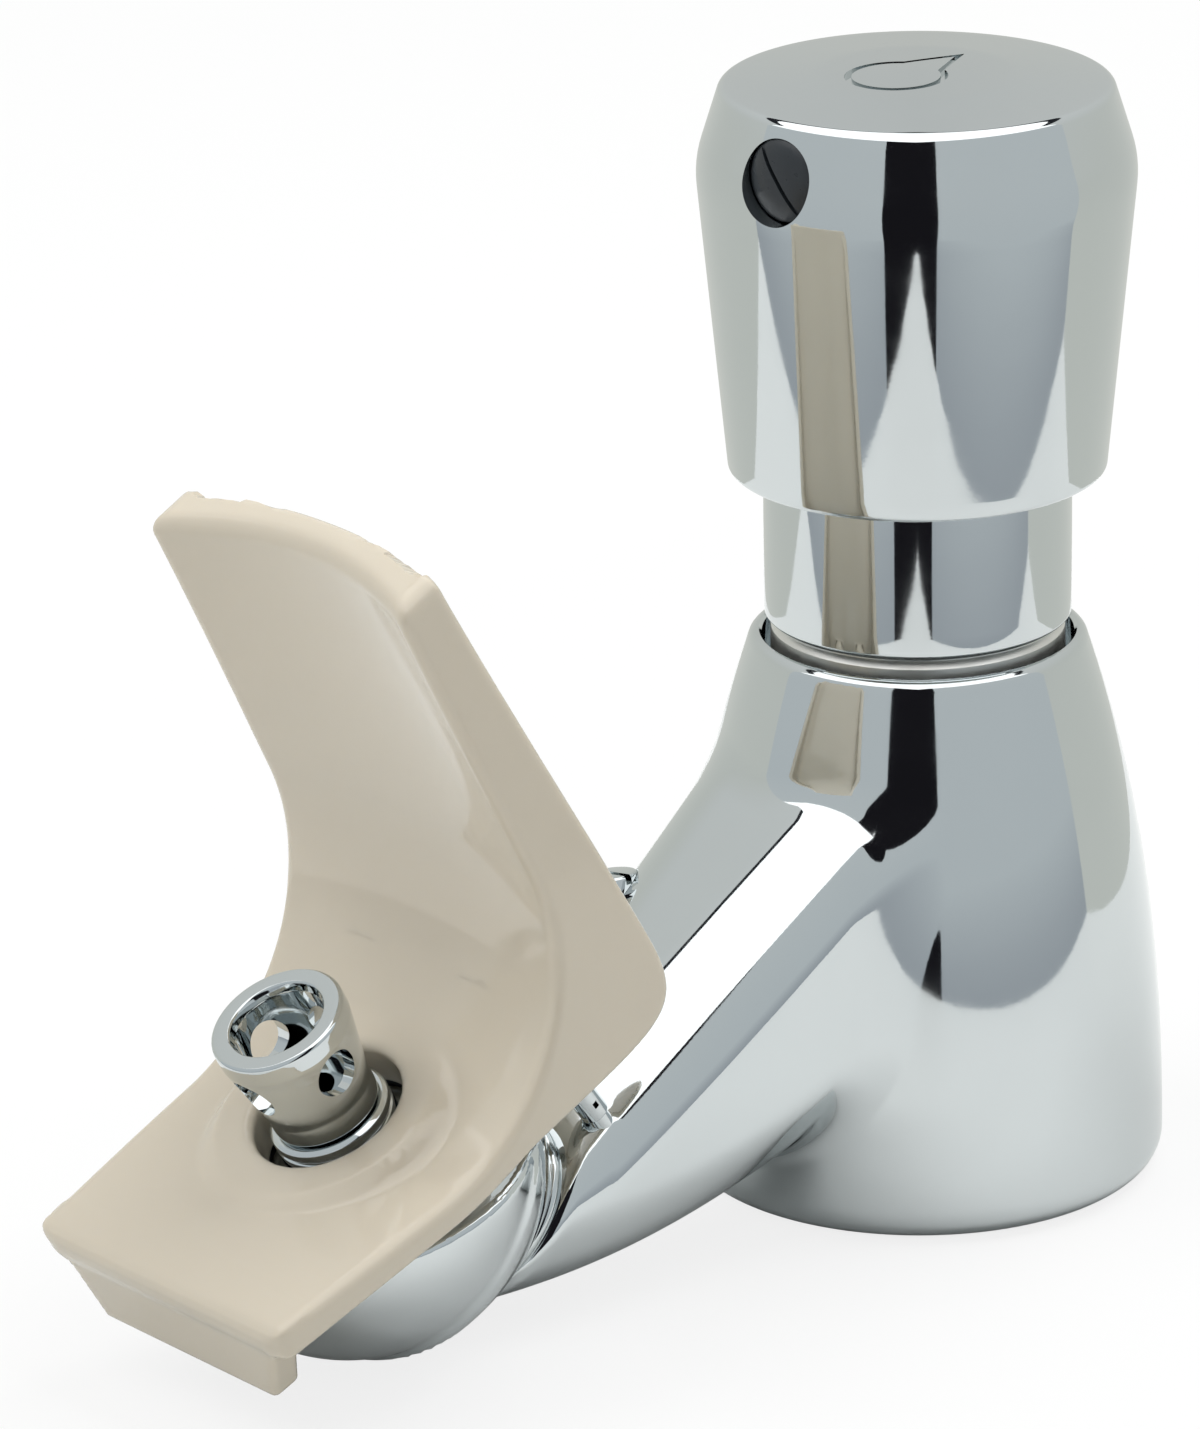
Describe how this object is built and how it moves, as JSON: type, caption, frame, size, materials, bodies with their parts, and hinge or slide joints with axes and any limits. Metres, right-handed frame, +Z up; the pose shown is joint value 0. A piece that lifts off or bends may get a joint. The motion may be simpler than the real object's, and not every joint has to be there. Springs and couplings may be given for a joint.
{
  "type": "drinking fountain bubbler",
  "caption": "Deck-mounted push-top drinking fountain bubbler: chrome tapered body, short arm, tilted side-hole nozzle and a curved plastic mouth guard.",
  "frame": {"origin": "centre of the foot, in the plane of the deck", "axes": "+Z up along the body and the push cap, -Y along the arm towards the user, X across; the user stands on the -Y side"},
  "size_m": [0.0546, 0.136, 0.1258],
  "materials": {
    "chrome": "polished chrome plate",
    "brass": "machined brass",
    "rubber": "black rubber",
    "steel": "stainless steel",
    "nylon": "natural nylon",
    "guard_plastic": "moulded beige plastic, soft gloss",
    "plug_plastic": "black moulded plastic"
  },
  "bodies": {
    "base": {"body_casting": "chrome", "deck_gasket": "rubber", "inlet_strainer": "steel", "valve_seat": "brass", "u_cup_seal": "rubber", "stem_bushing": "nylon", "valve_housing": "brass", "housing_oring": "rubber", "return_spring": "steel", "bonnet_sleeve": "chrome", "seam_ring": "chrome", "head_bowl": "chrome", "spigot_oring": "rubber", "bubbler_nozzle": "chrome", "nozzle_collar": "chrome", "nozzle_oring": "rubber", "flow_disc": "nylon", "guard_gasket": "rubber", "mouth_guard": "guard_plastic", "guard_posts": "chrome"},
    "push": {"push_cap": "chrome", "cap_guide_ring": "nylon", "cap_set_screw": "steel", "cap_plug": "plug_plastic", "stem": "brass", "stem_clip": "steel", "seat_washer": "rubber", "washer_cup": "brass", "stem_nut": "brass", "spring_washer": "steel"},
    "regulator": {"regulator_screw": "chrome", "regulator_oring": "rubber"}
  },
  "joints": [
    {"name": "push_slide", "type": "slide", "parent": "base", "child": "push", "axis": [0, 0, -1], "range_m": [0, 0.006], "stiffness_N_per_m": 1200, "springref_m": -0.012, "deforming": ["return_spring"]},
    {"name": "regulator_turn", "type": "hinge", "parent": "base", "child": "regulator", "pos_m": [-0.012, -0.0346, 0.037], "axis": [-0.1736, 0, 0.9848], "range_deg": [-180, 720]}
  ]
}
